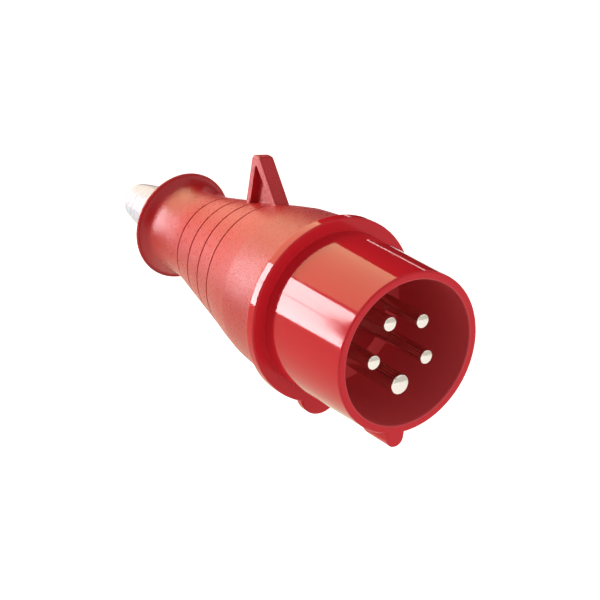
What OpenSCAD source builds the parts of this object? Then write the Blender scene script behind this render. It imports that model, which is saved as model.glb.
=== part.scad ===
// Industrial pin and sleeve plug, 16 A, three phases, neutral and earth.
// The plug axis is X, the pins point to +X and the keyway nose is at -Z.
// The origin is the centre of the sleeve's mouth.

/* [Sleeve] */
// Outer radius of the sleeve at its mouth
sleeve_r = 27.8; // [26:0.1:30]
// Draft of the sleeve, growth of its radius from mouth to flange
sleeve_draft = 0.5; // [0:0.1:0.8]
// Wall thickness of the sleeve
sleeve_wall = 2.9; // [2.4:0.1:3.4]
// Length of the sleeve in front of the flange
sleeve_len = 41; // [38:0.5:44]
// Depth of the socket from the mouth to the contact face
socket_depth = 38; // [36:0.5:38]
// Radius at the rim's edges
rim_round = 0.7; // [0.3:0.1:1.2]
// Width of the keyway nose
key_w = 6.6; // [5:0.2:8]
// Distance of the nose's outer face from the axis
key_reach = 32.4; // [31:0.1:32.5]
// Length of the nose along the sleeve
key_len = 13; // [8:0.5:20]

/* [Flange] */
// Outer radius of the flange
flange_r = 32.8; // [31.5:0.1:34]
// Thickness of the flange
flange_t = 4; // [3:0.5:6]
// Radius of the rounded lobe under the flange
lobe_r = 8.5; // [6:0.5:10]
// Distance of the lobe's lowest point from the axis
lobe_reach = 37.3; // [35:0.1:40]
// Thickness of the lobe
lobe_t = 3; // [2:0.5:4]

/* [Contacts] */
// Radius of the circle through the pin centres
pin_circle = 11.4; // [11:0.1:12.5]
// Radius of a phase or neutral pin
pin_r = 2.5; // [2.3:0.1:2.7]
// Radius of the earth pin
earth_r = 3.5; // [3.2:0.1:3.7]
// Distance of the phase pin tips behind the mouth
pin_recess = 3; // [2.5:0.1:6]
// Distance of the earth pin tip behind the mouth
earth_recess = 1; // [0.8:0.1:2.4]
// Height of a pin's domed tip, as a share of the pin's radius
tip_dome = 0.3; // [0.2:0.05:1]
// Radius of a terminal barrel
barrel_r = 4.2; // [3.8:0.1:4.4]
// Length of a terminal barrel behind the carrier
barrel_len = 14; // [12:1:16]

/* [Rear housing] */
// Wall thickness of the rear housing
body_wall = 2.4; // [2:0.1:3]
// Distance of the rear end behind the mouth
rear_end = 137.5; // [136:0.1:139]
// Radius at the outer edge of the collar
collar_r = 20; // [19:0.1:21]
// Thickness of the collar's rounded edge
collar_edge = 1.6; // [0.8:0.1:2]
// Width of a grip groove
groove_w = 1; // [0.6:0.1:1.4]
// Depth of a grip groove
groove_d = 0.6; // [0.3:0.1:0.9]
// Thickness of the fin
fin_t = 6; // [4:0.5:8]
// Chamfer along the fin's edges
fin_edge = 0.35; // [0.2:0.05:0.8]
// Depth of the pocket in each face of the fin
fin_pocket = 2.4; // [1.5:0.1:2.6]

/* [Cable entry] */
// Radius of the seal's cable hole
entry_r = 4.5; // [4:0.5:6]
// Number of rings on the seal's cone
seal_rings = 9; // [6:1:12]

/* [Cord grip] */
// Radius of the cable channel
cable_r = 6.5; // [5:0.5:7]
// Distance of the grip's middle behind the mouth
grip_at = 94; // [90:1:96]

/* [Bayonet] */
// Turn that frees the rear housing, in degrees
twist = 24; // [18:1:30]
// Running gap between turning faces
gap = 0.1; // [0.05:0.01:0.3]

/* [Hidden] */
$fn = 96;
eps = 0.01;

bore_r = sleeve_r - sleeve_wall;
flange_x = -sleeve_len;
joint_x = flange_x - flange_t;         // back face of the flange

ledge_t = 4;                           // ledge that the carrier seats on
ledge_r = 19.5;
stub_bore_r = bore_r - 0.3;             // bore behind the ledge
carrier_t = 12;
carrier_front = -socket_depth - ledge_t;
carrier_back = carrier_front - carrier_t;

spigot_r = 27.1;                       // stub that the rear housing turns on
spigot_len = 12;
spigot_end = joint_x - spigot_len;
seal_groove_x = joint_x - 1.6;
seal_groove_w = 2.2;
seal_groove_r = 25.9;
slot_x = joint_x - 5.2;                // front side of the bayonet slots
slot_w = 3.2;
slot_arc = 11;                         // angle taken by one bayonet tooth
bayonet_count = 3;

socket_r = spigot_r + 0.4;             // bore of the rear housing over the stub
socket_end = spigot_end - 1.5;
tooth_gap = 0.2;

pin_names = [0, 72, 144, 216, 288];    // earth, L1, L2, L3, neutral
counter_d = 4;                         // barrel's seat in the carrier
screw_x = carrier_back - 7;            // terminal screws
shoulder = 0.3;                        // step of a pin inside the carrier
wire_r = 2.1;
terminal_screw_r = 1.7;

screw_ring = 21.8;                     // two screws that hold the carrier
leg_r0 = 15.4;                         // legs of the cord grip
leg_r1 = 18;
leg_arc = 16;
leg_at = [108, 252];
grip_w = 11;                           // length of the grip along the cable
grip_screw_y = 10.2;

seal_shoulder = -126;                  // lip that holds the seal's collar
seal_lip_r = 12.3;
neck_bore_r = 14.1;
seal_end = -168.8;
ring_front = -118.4;

fin_rear = -95.6;
fin_front = -77.6;
fin_top = 39.2;
fin_slope = 45.6;                      // lean of the fin's front edge

groove_at = [-111.2, -100.6, -90.8, -81.4];

// Outside radius of the rear housing at its stations, from flange to collar
body_stations = [
    [joint_x - 0.2, 31.0], [-50, 30.4], [-58, 29.6], [-65, 28.8], [-67.5, 28.3], [-74, 26.9],
    [-82, 24.9], [-98, 21.3], [-110, 18.6], [-117, 17.1], [-124, 16.4],
    [-129, 16.3], [-132.6, 16.8], [-135, 18.1], [-136.1, 19.1]
];

// A cubic through points b and c, shaped by their neighbours a and d
function through(a, b, c, d, t) =
    0.5 * (2 * b + (c - a) * t + (2 * a - 5 * b + 4 * c - d) * t * t
    + (3 * b - a - 3 * c + d) * t * t * t);

// A smooth line through stations, with the given steps between two of them
function smooth(p, steps) = let (n = len(p)) [
    for (i = [0 : n - 2], k = [0 : steps - 1])
        through(p[max(i - 1, 0)], p[i], p[i + 1], p[min(i + 2, n - 1)], k / steps),
    p[n - 1]
];

// Radius of a line of stations at place x, by straight pieces
function radius_at(line, x) =
    let (i = [for (k = [0 : len(line) - 2]) if (line[k][0] >= x && line[k + 1][0] <= x) k][0])
    line[i][1] + (line[i + 1][1] - line[i][1]) * (x - line[i][0]) / (line[i + 1][0] - line[i][0]);

// Turns shapes made along Z onto the plug axis; angle 0 then points to -Z
module along_axis() rotate([0, 90, 0]) children();

// A solid of revolution about the plug axis, from [x, radius] points
module revolve(points) along_axis() rotate_extrude() polygon([for (p = points) [p[1], p[0]]]);

// A ring between two radii and two places on the axis
module ring(x0, x1, r0, r1) along_axis() translate([0, 0, min(x0, x1)]) difference() {
    cylinder(r = r1, h = abs(x1 - x0));
    translate([0, 0, -1]) cylinder(r = r0, h = abs(x1 - x0) + 2);
}

// A plain cylinder on the plug axis
module rod(x0, x1, r) along_axis() translate([0, 0, min(x0, x1)]) cylinder(r = r, h = abs(x1 - x0));

// Part of a ring, from angle a0 over angle da
module sector(x0, x1, r0, r1, a0, da) along_axis() translate([0, 0, min(x0, x1)])
    rotate([0, 0, a0]) rotate_extrude(angle = da)
        translate([r0, 0]) square([r1 - r0, abs(x1 - x0)]);

// Places children on the pin circle at an angle
module at_pin(angle) rotate([angle, 0, 0]) translate([0, 0, -pin_circle]) children();

// Quarter-round points for a convex edge: centre, radius, first angle, sweep
function arc(cx, cr, r, a0, da, n = 6) =
    [for (i = [0 : n]) [cx + r * cos(a0 + da * i / n), cr + r * sin(a0 + da * i / n)]];

module sleeve_shell() {
    edge = 0.6;
    revolve(concat(
        [[spigot_end, stub_bore_r], [carrier_front, stub_bore_r], [carrier_front, ledge_r],
         [-socket_depth, ledge_r], [-socket_depth, bore_r]],
        arc(-rim_round, bore_r + rim_round, rim_round, -90, 90),
        arc(-rim_round, sleeve_r - rim_round, rim_round, 0, 90),
        [[flange_x, sleeve_r + sleeve_draft]],
        arc(flange_x - edge, flange_r - edge, edge, 0, 90),
        arc(joint_x + edge, flange_r - edge, edge, 90, 90),
        [[joint_x, spigot_r], [seal_groove_x, spigot_r], [seal_groove_x, seal_groove_r],
         [seal_groove_x - seal_groove_w, seal_groove_r], [seal_groove_x - seal_groove_w, spigot_r],
         [spigot_end + 1, spigot_r], [spigot_end, spigot_r - 1]]));
}

module key_nose() {
    corner = key_w / 2 - 0.2;
    root = sleeve_r - 2;
    difference() {
        along_axis() translate([0, 0, -key_len]) linear_extrude(key_len) polygon(concat(
            [[root, key_w / 2], [root, -key_w / 2]],
            arc(key_reach - corner, corner - key_w / 2, corner, -90, 90),
            arc(key_reach - corner, key_w / 2 - corner, corner, 0, 90)));
        // sloped back end
        translate([-key_len, 0, -key_reach]) rotate([0, 45, 0])
            cube([2.4, key_w + 2, 2.4], center = true);
    }
}

module flange_lobe() {
    edge = 0.5;
    back = flange_x - lobe_t;
    translate([0, 0, lobe_r - lobe_reach]) difference() {
        union() {
            rod(back, flange_x - edge, lobe_r);
            rod(flange_x - edge - eps, flange_x, lobe_r - edge);
        }
        translate([back - 1, -lobe_r - 1, 2]) cube([lobe_t + 2, 2 * lobe_r + 2, lobe_r + 2]);
    }
}

// L-shaped slots through the stub, open to the rear at the turned position
module bayonet_slots() {
    for (k = [0 : bayonet_count - 1]) rotate([k * 360 / bayonet_count + 60, 0, 0]) {
        sector(slot_x, slot_x - slot_w, stub_bore_r - 1, spigot_r + 1, 0, slot_arc + twist + 2);
        sector(slot_x - slot_w / 2, spigot_end - 1, stub_bore_r - 1, spigot_r + 1, twist, slot_arc + 1);
    }
}

module front_housing() color([0.72, 0.12, 0.13]) difference() {
    union() {
        sleeve_shell();
        key_nose();
        flange_lobe();
    }
    bayonet_slots();
    for (s = [-1, 1]) translate([0, s * screw_ring, 0]) rod(carrier_front - 1, -socket_depth - 1, 1.3);
}

module contact_carrier() color([0.62, 0.1, 0.12]) difference() {
    union() {
        rod(carrier_back, carrier_front, stub_bore_r - 0.1);
        rod(carrier_front - eps, -socket_depth, ledge_r - 0.1);
        // raised walls between the terminals
        for (a = [36 : 72 : 324]) rotate([a, 0, 0])
            translate([carrier_back - 8, -0.8, -15.2]) cube([8 + eps, 1.6, 10.2]);
        rod(carrier_back - 8, carrier_back + eps, 5.4);
    }
    for (a = pin_names) at_pin(a) {
        r = a == 0 ? earth_r : pin_r;
        rod(carrier_back - 1, -socket_depth + 1, r + shoulder + 0.02);
        rod(carrier_back - 1, carrier_back + counter_d, barrel_r + 0.05);
    }
    for (s = [-1, 1]) translate([0, s * screw_ring, 0]) {
        rod(carrier_back - 1, carrier_front + 1, 1.6);
        rod(carrier_back - 1, carrier_back + 2, 2.5);
    }
    for (a = leg_at) rotate([a, 0, 0]) {
        sector(carrier_back - 1, carrier_back + 2, leg_r0 - 0.1, leg_r1 + 0.1,
            -leg_arc / 2 - 0.5, leg_arc + 1);
    }
    // hollow behind the middle of the face
    rod(carrier_back - 9, carrier_back + 4, 3.6);
}

// A flat dome of height h that ends at x on the axis
function dome(x, r, h, n = 12) =
    [for (i = [0 : n]) let (a = 90 * i / n) [x - h * (1 - sin(a)), r * cos(a)]];

// One turned contact: shaft with a domed tip, shoulder and drilled terminal barrel
module contact(r, recess) difference() {
    barrel_front = carrier_back + counter_d;
    barrel_back = carrier_back - barrel_len;
    union() {
        revolve(concat([[barrel_front - eps, 0], [barrel_front - eps, r + shoulder],
            [-socket_depth, r + shoulder], [-socket_depth, r]], dome(-recess, r, tip_dome * r)));
        revolve([[barrel_back, 0], [barrel_back, barrel_r - 0.4], [barrel_back + 0.4, barrel_r],
            [barrel_front, barrel_r], [barrel_front, 0]]);
    }
    rod(barrel_back - 1, barrel_back + 11, wire_r);
    translate([screw_x, 0, 0]) rotate([180, 0, 0]) cylinder(r = terminal_screw_r, h = barrel_r + 2);
}

module earth_pin() color([0.8, 0.78, 0.74]) at_pin(pin_names[0]) contact(earth_r, earth_recess);
module phase_pin_l1() color([0.8, 0.78, 0.74]) at_pin(pin_names[1]) contact(pin_r, pin_recess);
module phase_pin_l2() color([0.8, 0.78, 0.74]) at_pin(pin_names[2]) contact(pin_r, pin_recess);
module phase_pin_l3() color([0.8, 0.78, 0.74]) at_pin(pin_names[3]) contact(pin_r, pin_recess);
module neutral_pin() color([0.8, 0.78, 0.74]) at_pin(pin_names[4]) contact(pin_r, pin_recess);

// Slotted screw along +Z with its head's top at z = 0
module slotted_screw(shank_r, head_r, head_h, length) difference() {
    union() {
        translate([0, 0, -head_h]) cylinder(r = head_r, h = head_h);
        translate([0, 0, -length]) cylinder(r = shank_r, h = length - head_h + eps);
    }
    translate([0, 0, 0]) cube([2 * head_r + 1, 0.8, 1.4], center = true);
}

// The terminal screw stands outwards from the axis and reaches into the wire hole
module terminal_screw(a) at_pin(a) translate([screw_x, 0, -barrel_r - 2])
    rotate([180, 0, 0]) slotted_screw(terminal_screw_r, 2.6, 2, 6.6);

module earth_terminal_screw() color("silver") terminal_screw(pin_names[0]);
module terminal_screw_l1() color("silver") terminal_screw(pin_names[1]);
module terminal_screw_l2() color("silver") terminal_screw(pin_names[2]);
module terminal_screw_l3() color("silver") terminal_screw(pin_names[3]);
module neutral_terminal_screw() color("silver") terminal_screw(pin_names[4]);

module carrier_screws() color("silver") for (s = [-1, 1])
    translate([carrier_back + 0.4, s * screw_ring, 0]) rotate([0, -90, 0])
        slotted_screw(1.25, 2.3, 1.6, 14);

// Seal between the two housings, in the stub's groove
module body_gasket() color([0.12, 0.12, 0.12])
    ring(seal_groove_x - 0.1, seal_groove_x - seal_groove_w + 0.1, seal_groove_r, socket_r - gap);

// Yoke behind the terminals: two legs and a cradle for the cable
module cord_grip_base() color([0.2, 0.2, 0.22]) difference() {
    union() {
        for (a = leg_at) rotate([a, 0, 0])
            sector(carrier_back + 2, -grip_at - grip_w / 2, leg_r0, leg_r1, -leg_arc / 2, leg_arc);
        intersection() {
            rod(-grip_at - grip_w / 2 + 0.3, -grip_at + grip_w / 2, leg_r1 - 0.4);
            translate([-grip_at - grip_w, -30, -12]) cube([2 * grip_w, 60, 13]);
        }
        // posts that join the cradle to the legs
        for (s = [-1, 1]) translate([-grip_at - grip_w / 2 + 0.6, s * 15.1 - 1.5, -1])
            cube([grip_w - 1.2, 3, 7]);
    }
    rod(-grip_at - grip_w, -grip_at + grip_w, cable_r);
    for (s = [-1, 1]) translate([-grip_at, s * grip_screw_y, 0]) {
        translate([0, 0, -14]) cylinder(r = 1.6, h = 20);
        translate([0, 0, -14]) cylinder(r = 3.3, h = 6, $fn = 6);
    }
}

// Bar that presses the cable down, with two ribs that bite
module cord_grip_saddle() color([0.2, 0.2, 0.22]) difference() {
    union() {
        translate([-grip_at - 4, -13, 4.6]) cube([8, 26, 3]);
        translate([-grip_at - 4, -6.2, 3.4]) cube([8, 12.4, 5.4]);
    }
    translate([-grip_at - 5, 0, -1.4]) rotate([0, 90, 0]) cylinder(r = cable_r, h = 10);
    for (s = [-1, 1]) translate([-grip_at, s * grip_screw_y, 0]) cylinder(r = 1.6, h = 12);
}

module cord_grip_screws() color("silver") for (s = [-1, 1])
    translate([-grip_at, s * grip_screw_y, 9.6]) slotted_screw(1.5, 2.6, 2, 20.6);

module cord_grip_nuts() color("silver") for (s = [-1, 1])
    translate([-grip_at, s * grip_screw_y, -10.6]) difference() {
        cylinder(r = 3.2, h = 2.6, $fn = 6);
        translate([0, 0, -1]) cylinder(r = 1.55, h = 5);
    }

// Teeth inside the rear housing that run in the stub's slots
module bayonet_teeth() for (k = [0 : bayonet_count - 1])
    rotate([k * 360 / bayonet_count + 60, 0, 0])
        sector(slot_x - tooth_gap, slot_x - slot_w + tooth_gap, stub_bore_r + 0.4, socket_r + 0.6,
            0.5, slot_arc - 1);

function body_outside() = smooth(body_stations, 5);

// Hollow of the rear housing: socket, tapered body, seal seat, lip and trumpet mouth
module body_hollow() revolve(concat(
    [[joint_x + 1, 0], [joint_x + 1, socket_r], [socket_end, socket_r]],
    [for (p = body_outside()) if (p[0] < socket_end - 0.5 && p[0] > ring_front) [p[0], p[1] - body_wall]],
    [[ring_front, neck_bore_r], [seal_shoulder, neck_bore_r], [seal_shoulder, seal_lip_r],
     [seal_shoulder - 2.2, seal_lip_r]],
    smooth([[seal_shoulder - 2.4, seal_lip_r], [seal_shoulder - 5, 13.4], [seal_shoulder - 8.3, 15.2],
        [-rear_end - 0.5, 17.9]], 4),
    [[-rear_end - 1, 0]]));

// Side view of the fin, with its foot sunk in the housing's wall
module fin_outline() {
    tip = 1.6;
    fall = [cos(fin_slope), -sin(fin_slope)];
    foot = 4;
    corner = [fin_front, 25.7];
    top = corner - fall * ((fin_top - corner[1]) / sin(fin_slope));
    polygon(concat(
        [[fin_rear, 18]], arc(fin_rear + tip, fin_top - tip, tip, 180, -90),
        arc(top[0] - tip * tan((90 - fin_slope) / 2) - 0.4, fin_top - tip, tip, 90, fin_slope - 90),
        [corner + fall * foot, [corner[0] + fall[0] * foot, 18]]));
}

// Pocket between the fin's two legs, down to the housing's skin
module fin_window() {
    leg = 2.7;
    rear = fin_rear + leg;
    front = fin_front - 3;
    polygon(concat(
        [[rear, 20]], arc(rear + 0.6, 35.2, 0.6, 180, -130, 5), [[front, 25.4], [front, 20]]));
}

// Small moulded bead across the foot of the fin's rear leg
module fin_bead() translate([fin_rear + 1.8, 0, radius_at(body_stations, fin_rear + 1.8)])
    rotate([90, 0, 0]) cylinder(r = 0.8, h = fin_t + 0.6, center = true);

module fin() rotate([90, 0, 0]) difference() {
    hull() {
        translate([0, 0, -fin_t / 2]) linear_extrude(fin_t) offset(delta = -fin_edge) fin_outline();
        translate([0, 0, fin_edge - fin_t / 2]) linear_extrude(fin_t - 2 * fin_edge) fin_outline();
    }
    for (s = [0, 1]) mirror([0, 0, s]) translate([0, 0, fin_t / 2 - fin_pocket])
        linear_extrude(fin_pocket + 1) fin_window();
}

module grip_grooves() for (x = groove_at) let (r = radius_at(body_stations, x))
    revolve([[x + groove_w / 2, r + 1], [x + groove_w * 0.3, r - groove_d],
        [x - groove_w * 0.3, r - groove_d], [x - groove_w / 2, r + 1]]);

module rear_housing() color([0.87, 0.36, 0.3]) {
    difference() {
        union() {
            difference() {
                revolve(concat([[joint_x - 0.2, 0]], body_outside(),
                    arc(collar_edge / 2 - rear_end, collar_r - collar_edge / 2, collar_edge / 2, 30, 150, 8),
                    [[-rear_end, 0]]));
                grip_grooves();
            }
            fin();
            fin_bead();
        }
        body_hollow();
    }
    bayonet_teeth();
}

// Rubber seal: a collar behind the lip and a stepped cone that is cut back to the cable
module cable_seal() color([0.94, 0.94, 0.92]) {
    cone = [[seal_shoulder, 12.1], [-140, 11.1], [-152, 9.7], [-162, 8.1], [seal_end, 6.6]];
    first = -133;
    pitch = (first - seal_end) / seal_rings;
    difference() {
        union() {
            ring(seal_shoulder, seal_shoulder + 4, entry_r, neck_bore_r - 0.1);
            revolve(concat([[seal_shoulder + eps, 0], [seal_shoulder + eps, seal_lip_r - 0.1],
                [seal_shoulder - 2.6, seal_lip_r - 0.1]],
                [for (k = [0 : seal_rings - 1], e = [0, 0.5, 0.85, 1])
                    let (x = first - (k + e) * pitch)
                    [x, radius_at(cone, max(x, seal_end + eps)) - (e == 1 ? 0.5 : e == 0 ? 0.5 : 0)]],
                [[seal_end, 0]]));
        }
        rod(seal_end - 1, seal_shoulder + 8, entry_r);
    }
}

// Ring that keeps the seal against its lip
module seal_ring() color([0.2, 0.2, 0.22])
    ring(ring_front, seal_shoulder + 4, 10.4, neck_bore_r - 0.1);

front_housing();
contact_carrier();
carrier_screws();
earth_pin();
phase_pin_l1();
phase_pin_l2();
phase_pin_l3();
neutral_pin();
earth_terminal_screw();
terminal_screw_l1();
terminal_screw_l2();
terminal_screw_l3();
neutral_terminal_screw();
body_gasket();
cord_grip_base();
cord_grip_saddle();
cord_grip_screws();
cord_grip_nuts();
rear_housing();
cable_seal();
seal_ring();
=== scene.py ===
import math

import bpy
from mathutils import Matrix, Vector


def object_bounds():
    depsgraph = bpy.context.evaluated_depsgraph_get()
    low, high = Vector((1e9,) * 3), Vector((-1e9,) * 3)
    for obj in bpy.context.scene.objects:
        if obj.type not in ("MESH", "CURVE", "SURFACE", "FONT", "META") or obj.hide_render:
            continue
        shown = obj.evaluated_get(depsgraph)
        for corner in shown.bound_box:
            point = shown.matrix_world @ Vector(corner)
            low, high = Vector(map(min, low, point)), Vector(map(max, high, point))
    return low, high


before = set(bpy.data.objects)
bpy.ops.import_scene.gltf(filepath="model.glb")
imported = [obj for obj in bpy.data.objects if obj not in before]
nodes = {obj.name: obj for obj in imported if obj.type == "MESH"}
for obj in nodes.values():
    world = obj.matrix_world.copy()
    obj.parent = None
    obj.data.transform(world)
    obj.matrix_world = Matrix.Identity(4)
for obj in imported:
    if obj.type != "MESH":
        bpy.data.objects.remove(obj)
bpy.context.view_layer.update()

mm = 0.001


class Wire:  # one socket of a shader tree, used like a number
    def __init__(self, finish, socket):
        self.finish = finish
        self.socket = socket

    def math(self, operation, first, second=0.0):
        return self.finish.node("ShaderNodeMath", {"operation": operation}, {0: first, 1: second})

    def __add__(self, other):
        return self.math("ADD", self, other)

    __radd__ = __add__

    def __sub__(self, other):
        return self.math("SUBTRACT", self, other)

    def __rsub__(self, other):
        return self.math("SUBTRACT", other, self)

    def __mul__(self, other):
        return self.math("MULTIPLY", self, other)

    __rmul__ = __mul__

    def __pow__(self, power):
        return self.math("POWER", self, power)

    def __abs__(self):
        return self.math("ABSOLUTE", self)


class Finish:  # a material built round one Principled shader
    def __init__(self, name, **fixed):
        self.material = bpy.data.materials.new(name)
        self.material.use_nodes = True
        self.tree = self.material.node_tree
        self.tree.nodes.clear()
        self.out = self.tree.nodes.new("ShaderNodeOutputMaterial")
        self.shader = self.tree.nodes.new("ShaderNodeBsdfPrincipled")
        self.tree.links.new(self.shader.outputs[0], self.out.inputs["Surface"])
        for label, value in fixed.items():
            self.shader.inputs[label.replace("_", " ")].default_value = value

    def node(self, kind, settings=None, inputs=None, output=0):
        made = self.tree.nodes.new(kind)
        for label, value in (settings or {}).items():
            if label == "stops":
                ramp = made.color_ramp
                for index, (place, colour) in enumerate(value):
                    stop = ramp.elements[index] if index < 2 else ramp.elements.new(place)
                    stop.position = place
                    stop.color = colour
            else:
                setattr(made, label, value)
        for label, value in (inputs or {}).items():
            self.feed(made.inputs[label], value)
        return Wire(self, made.outputs[output])

    def feed(self, socket, value):
        if isinstance(value, Wire):
            self.tree.links.new(value.socket, socket)
        else:
            socket.default_value = value

    def shade(self, label, value):
        self.feed(self.shader.inputs[label], value)

    def place(self):
        return self.node("ShaderNodeTexCoord", output="Object")

    def axis(self, name):
        return self.node("ShaderNodeSeparateXYZ", {}, {0: self.place()}, name)

    def radius(self):  # distance from the plug's axis
        return (self.axis("Y") ** 2 + self.axis("Z") ** 2) ** 0.5

    def noise(self, size, detail=2.0, rough=0.5, vector=None):
        return self.node("ShaderNodeTexNoise", {}, {
            "Vector": vector or self.place(), "Scale": 1 / size,
            "Detail": detail, "Roughness": rough})

    def spread(self, value, low, high, newLow=0.0, newHigh=1.0):
        return self.node("ShaderNodeMapRange", {"clamp": True}, {
            "Value": value, "From Min": low, "From Max": high,
            "To Min": newLow, "To Max": newHigh})

    def blend(self, factor, first, second):
        return self.node("ShaderNodeMix", {"data_type": "RGBA"}, {
            "Factor": factor, 6: first, 7: second}, 2)

    def bump(self, height, depth, strength=1.0, under=None):
        inputs = {"Height": height, "Distance": depth, "Strength": strength}
        if under:
            inputs["Normal"] = under
        return self.node("ShaderNodeBump", {}, inputs)


def wear(finish, *names):
    for name in names:
        slots = nodes[name].data.materials
        slots.clear()
        slots.append(finish.material)


print("frame loaded:", len(nodes), "nodes")

camera = {
    "azimuth": 52.2,  # degrees round the plug, 0 looks along +Y
    "elevation": 17.67,
    "roll": 8.46,
    "distance": 0.6563,
    "aim": (-25.54 * mm, -27.07 * mm, 11.28 * mm),
    "lens": 123.2,
    "sensor": 36.0,
}


def towards(azimuth, elevation):
    a, e = math.radians(azimuth), math.radians(elevation)
    return Vector((math.sin(a) * math.cos(e), -math.cos(a) * math.cos(e), math.sin(e)))


def setCamera():
    back = towards(camera["azimuth"], camera["elevation"])
    level = Vector((0, 0, 1)).cross(back).normalized()
    upright = back.cross(level)
    turn = math.radians(camera["roll"])
    right = level * math.cos(turn) + upright * math.sin(turn)
    up = upright * math.cos(turn) - level * math.sin(turn)
    eye = bpy.data.objects.new("camera", bpy.data.cameras.new("camera"))
    bpy.context.scene.collection.objects.link(eye)
    place = Vector(camera["aim"]) + back * camera["distance"]
    eye.matrix_world = Matrix((
        (right.x, up.x, back.x, place.x),
        (right.y, up.y, back.y, place.y),
        (right.z, up.z, back.z, place.z),
        (0, 0, 0, 1)))
    eye.data.lens = camera["lens"]
    eye.data.sensor_width = camera["sensor"]
    eye.data.clip_start = 0.01
    bpy.context.scene.camera = eye


studio = {"middle": (-18 * mm, -25 * mm, 9 * mm)}  # point on the sleeve that the lamps are set out from

lamps = {  # azimuth and elevation, lean, distance, width, height, watts, tint
    "sideBox": (-51.8, 7.8, 10, 1.15, 0.20, 0.69, 7.0, (1, 0.95, 0.96)),
    "upperPanel": (-81.3, 36.6, -16.6, 1.24, 1.12, 0.66, 6.0, (1, 0.58, 0.38)),
    "frontFill": (95, 12, 0, 1.6, 1.2, 1.2, 9, (1, 1, 1)),
    "edgeStrip": (-130.5, 14, 0, 1.2, 0.5, 0.03, 0.2, (1, 0.85, 0.85)),
}

cards = {  # seen by reflections alone: azimuth, elevation, lean, distance, width, height, glow, tint
    "backFlag": (-135, 30, 0, 2.2, 2.2, 3.2, 0.0, (1, 1, 1)),
    "panelBack": (-81.3, 36.6, -16.6, 1.25, 1.16, 0.70, 0.0, (1, 1, 1)),
    "boxFrame": (-51.8, 7.8, 10, 1.16, 0.26, 0.73, 0.0, (1, 1, 1)),
    "boxGlow": (-51.8, 7.8, 10, 1.14, 0.20, 0.69, 30.0, (1, 0.95, 0.96)),
    "boxBar": (-51.8, 9.0, 10, 1.13, 0.20, 0.025, 20.0, (1, 0.85, 0.85)),
    "panelGlow": (-81.3, 36.6, -16.6, 1.23, 1.12, 0.66, 4.8, (1, 0.95, 0.56)),
    "housingCard": (-88, 3, 0, 1.3, 1.3, 0.9, 2.6, (1, 0.5, 0.36)),
    "topFlag": (5, 50, 0, 1.0, 0.34, 0.16, 0.0, (1, 1, 1)),
    "pinFlag": (72, 35, 0, 1.0, 0.30, 0.20, 0.0, (1, 1, 1)),
    "leftFlag": (-10, 0, 0, 1.3, 1.7, 1.7, 0.0, (1, 1, 1)),
    "lowCard": (-88, -38, 0, 0.25, 0.50, 0.24, 1.5, (0.7, 0.72, 0.55)),
    "frontCard": (122, -4, 0, 1.3, 2.4, 1.7, 0.75, (1, 0.96, 0.9)),
}


def hang(item, azimuth, elevation, lean, distance):
    aim = towards(azimuth, elevation)
    turn = Matrix.Rotation(math.radians(lean), 3, "Z")
    item.location = Vector(studio["middle"]) + aim * distance
    item.rotation_euler = (aim.to_track_quat("Z", "Y").to_matrix() @ turn).to_euler()
    bpy.context.scene.collection.objects.link(item)


def setLamps():
    for name, (azimuth, elevation, lean, distance, width, height, watts, tint) in lamps.items():
        light = bpy.data.lights.new(name, "AREA")
        light.shape = "RECTANGLE"
        light.size, light.size_y = width, height
        light.energy = watts
        light.color = tint
        box = bpy.data.objects.new(name, light)
        box.visible_glossy = name != "frontFill"  # the fill only lifts the shaded side
        hang(box, azimuth, elevation, lean, distance)


def sheetOf(name, width, height):
    w, h = width / 2, height / 2
    sheet = bpy.data.meshes.new(name)
    sheet.from_pydata([(-w, -h, 0), (w, -h, 0), (w, h, 0), (-w, h, 0)], [], [(0, 1, 2, 3)])
    return sheet


def hangCards():
    for name, (azimuth, elevation, lean, distance, width, height, glow, tint) in cards.items():
        paint = Finish(name, Base_Color=(0.02, 0.02, 0.02, 1), Roughness=1.0, Specular_IOR_Level=0.0,
                       Emission_Color=(*tint, 1), Emission_Strength=glow)
        card = bpy.data.objects.new(name, sheetOf(name, width, height))
        card.data.materials.append(paint.material)
        hang(card, azimuth, elevation, lean, distance)
        card.visible_camera = False
        card.visible_diffuse = False
        card.visible_shadow = False
        card.visible_transmission = False


def seenPlainly(tree):  # 1 for rays from the camera, a reflection or a clear material
    rays = tree.nodes.new("ShaderNodeLightPath")
    picked = rays.outputs["Is Camera Ray"]
    for name in ("Is Glossy Ray", "Is Transmission Ray"):
        either = tree.nodes.new("ShaderNodeMath")
        either.operation = "MAXIMUM"
        tree.links.new(picked, either.inputs[0])
        tree.links.new(rays.outputs[name], either.inputs[1])
        picked = either.outputs[0]
    return picked


sky = {"ambient": 0.33, "backdrop": 1.0}


def setWorld():
    world = bpy.data.worlds.new("studio")
    bpy.context.scene.world = world
    world.use_nodes = True
    tree = world.node_tree
    tree.nodes.clear()
    mixed = tree.nodes.new("ShaderNodeMixShader")
    tree.links.new(seenPlainly(tree), mixed.inputs[0])
    for index, strength in ((1, sky["ambient"]), (2, sky["backdrop"])):
        glow = tree.nodes.new("ShaderNodeBackground")
        glow.inputs["Color"].default_value = (1, 1, 1, 1)
        glow.inputs["Strength"].default_value = strength
        tree.links.new(glow.outputs[0], mixed.inputs[index])
    out = tree.nodes.new("ShaderNodeOutputWorld")
    tree.links.new(mixed.outputs[0], out.inputs["Surface"])


floorPlan = {"size": 9.0, "below": 0.16, "colour": (0.9, 0.9, 0.9, 1), "lift": 0.7}


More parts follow.
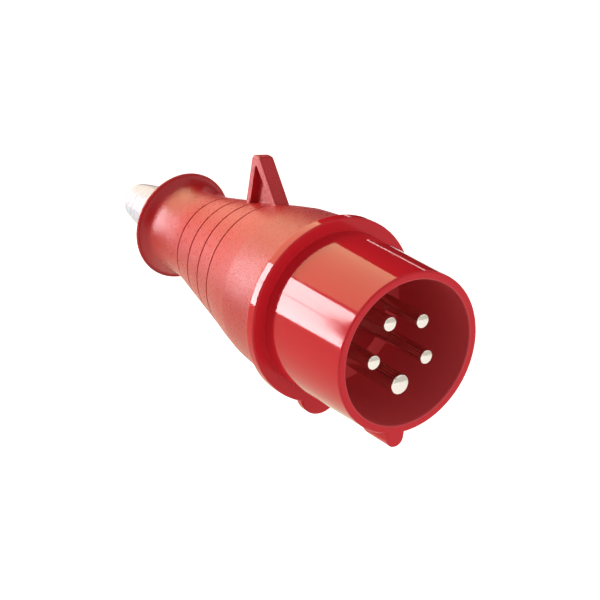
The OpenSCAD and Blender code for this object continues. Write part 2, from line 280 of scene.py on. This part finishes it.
def layFloor():
    low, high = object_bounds()
    floor = bpy.data.objects.new("floor", sheetOf("floor", floorPlan["size"], floorPlan["size"]))
    floor.location = (0, 0, low.z - floorPlan["below"])
    bpy.context.scene.collection.objects.link(floor)
    paint = Finish("floorPaint", Base_Color=floorPlan["colour"], Roughness=0.9, Specular_IOR_Level=0.0)
    glow = paint.tree.nodes.new("ShaderNodeEmission")
    glow.inputs["Strength"].default_value = floorPlan["lift"]
    lifted = paint.tree.nodes.new("ShaderNodeAddShader")
    shown = paint.tree.nodes.new("ShaderNodeMixShader")
    links = paint.tree.links
    links.new(paint.shader.outputs[0], lifted.inputs[0])
    links.new(glow.outputs[0], lifted.inputs[1])
    links.new(seenPlainly(paint.tree), shown.inputs[0])
    links.new(paint.shader.outputs[0], shown.inputs[1])
    links.new(lifted.outputs[0], shown.inputs[2])
    links.new(shown.outputs[0], paint.out.inputs["Surface"])
    floor.data.materials.append(paint.material)


def softEdge(finish, radius):  # shading of a small moulded radius on every edge
    return finish.node("ShaderNodeBevel", {"samples": 6}, {"Radius": radius})


sleevePaint = {
    "colour": (0.68, 0.017, 0.028, 1),
    "cloud": (0.73, 0.021, 0.033, 1),
    "patch": 30 * mm,
    "borePaintedLight": (0.70, 0.075, 0.085, 1),  # painted light: paler than the outside, which is the same plastic, to make up for light the cards keep out
    "bore": (25.2 * mm, 25.6 * mm),
    "gloss": (0.05, 0.09),
    "smear": 4 * mm,
    "dull": 0.3,  # added to the roughness in the bore
    "specular": 0.18,
    "wave": 20 * mm,
    "waveDepth": 0.008 * mm,
    "seamFrom": (28.5 * mm, 28.9 * mm),  # height at which the mould seam begins
    "seamWidth": 0.12 * mm,
    "seamDepth": 0.15 * mm,
    "edge": 0.25 * mm,
}


def makeSleevePlastic():
    p = sleevePaint
    finish = Finish("glossRed", Specular_IOR_Level=p["specular"])
    outer = finish.spread(finish.radius(), *p["bore"])  # 0 in the bore, 1 outside
    shell = finish.blend(finish.noise(p["patch"], 3), p["colour"], p["cloud"])
    # painted light in the bore: the same plastic is given a paler colour there
    finish.shade("Base Color", finish.blend(outer, p["borePaintedLight"], shell))
    polish = finish.spread(finish.noise(p["smear"]), 0.3, 0.7, *p["gloss"])
    finish.shade("Roughness", polish + (1 - outer) * p["dull"])
    outside = finish.spread(finish.axis("Z"), *p["seamFrom"])
    seam = finish.spread(abs(finish.axis("Y")), p["seamWidth"] * 0.5, p["seamWidth"], 1, 0) * outside
    wave = finish.bump(finish.noise(p["wave"], 1), p["waveDepth"], under=softEdge(finish, p["edge"]))
    finish.shade("Normal", finish.bump(seam, p["seamDepth"], under=wave))
    return finish


wear(makeSleevePlastic(), "front_housing")

housingPaint = {
    "colour": (0.55, 0.018, 0.022, 1),
    "cloud": (0.60, 0.024, 0.028, 1),
    "patch": 20 * mm,
    "roughness": (0.25, 0.36),
    "smear": 1 * mm,
    "collar": (-124 * mm, -120 * mm),  # smoother behind the first of these
    "polish": 0.55,
    "specular": 0.3,
    "grain": 0.5 * mm,
    "depth": 0.13 * mm,
    "edge": 0.3 * mm,
}


def makeHousingPlastic():
    p = housingPaint
    finish = Finish("texturedRed", Specular_IOR_Level=p["specular"])
    finish.shade("Base Color", finish.blend(finish.noise(p["patch"], 4), p["colour"], p["cloud"]))
    matt = finish.spread(finish.noise(p["smear"]), 0.3, 0.7, *p["roughness"])
    finish.shade("Roughness", matt * finish.spread(finish.axis("X"), *p["collar"], p["polish"], 1))
    grain = finish.noise(p["grain"], 2, 0.6)
    finish.shade("Normal", finish.bump(grain, p["depth"], under=softEdge(finish, p["edge"])))
    return finish


wear(makeHousingPlastic(), "rear_housing")


def makePlain(name, p, **fixed):  # two tones, uneven gloss and a fine grain
    finish = Finish(name, **fixed)
    finish.shade("Base Color", finish.blend(finish.noise(p["patch"], 3), p["colour"], p["cloud"]))
    finish.shade("Roughness", finish.spread(finish.noise(p["smear"]), 0.3, 0.7, *p["roughness"]))
    finish.shade("Normal", finish.bump(finish.noise(p["grain"], 2), p["depth"]))
    return finish


carrierPaint = {
    "colour": (0.36, 0.012, 0.016, 1),
    "cloud": (0.42, 0.016, 0.020, 1),
    "patch": 10 * mm,
    "roughness": (0.30, 0.40),
    "smear": 3 * mm,
    "grain": 0.8 * mm,
    "depth": 0.02 * mm,
}
wear(makePlain("carrierRed", carrierPaint), "contact_carrier")

sealPaint = {
    "colour": (0.68, 0.73, 0.80, 1),
    "cloud": (0.73, 0.78, 0.85, 1),
    "patch": 6 * mm,
    "roughness": (0.30, 0.42),
    "smear": 2 * mm,
    "grain": 0.6 * mm,
    "depth": 0.02 * mm,
}
milky = {"Subsurface_Weight": 0.3, "Subsurface_Scale": 4 * mm}
wear(makePlain("milkySeal", sealPaint, **milky), "cable_seal")

nickelPaint = {
    "colour": (0.70, 0.66, 0.59, 1),
    "cloud": (0.78, 0.74, 0.66, 1),
    "patch": 2 * mm,
    "roughness": (0.12, 0.20),
    "smear": 0.7 * mm,
    "grain": 0.3 * mm,
    "depth": 0.004 * mm,
}
nickelPlate = makePlain("nickelPlate", nickelPaint, Metallic=1.0)
wear(nickelPlate, "earth_pin", "phase_pin_l1", "phase_pin_l2", "phase_pin_l3", "neutral_pin")

gripPaint = {
    "colour": (0.028, 0.028, 0.032, 1),
    "cloud": (0.040, 0.040, 0.044, 1),
    "patch": 4 * mm,
    "roughness": (0.40, 0.52),
    "smear": 2 * mm,
    "grain": 0.5 * mm,
    "depth": 0.03 * mm,
}
wear(makePlain("gripGrey", gripPaint), "cord_grip_base", "cord_grip_saddle", "seal_ring")

gasketPaint = {
    "colour": (0.012, 0.012, 0.012, 1),
    "cloud": (0.020, 0.020, 0.020, 1),
    "patch": 3 * mm,
    "roughness": (0.60, 0.75),
    "smear": 1 * mm,
    "grain": 0.4 * mm,
    "depth": 0.02 * mm,
}
wear(makePlain("gasketBlack", gasketPaint), "body_gasket")

screwPaint = {
    "colour": (0.56, 0.56, 0.55, 1),
    "cloud": (0.66, 0.65, 0.62, 1),
    "patch": 2 * mm,
    "roughness": (0.25, 0.40),
    "smear": 0.6 * mm,
    "grain": 0.3 * mm,
    "depth": 0.008 * mm,
}
zincSteel = makePlain("zincSteel", screwPaint, Metallic=1.0)
wear(zincSteel, "carrier_screws", "cord_grip_screws", "cord_grip_nuts")
wear(zincSteel, "earth_terminal_screw", "neutral_terminal_screw")
wear(zincSteel, "terminal_screw_l1", "terminal_screw_l2", "terminal_screw_l3")
print("finishes on all nodes")

setCamera()
layFloor()
setWorld()
setLamps()
hangCards()
bpy.context.scene.view_settings.view_transform = "Standard"
print("studio set")
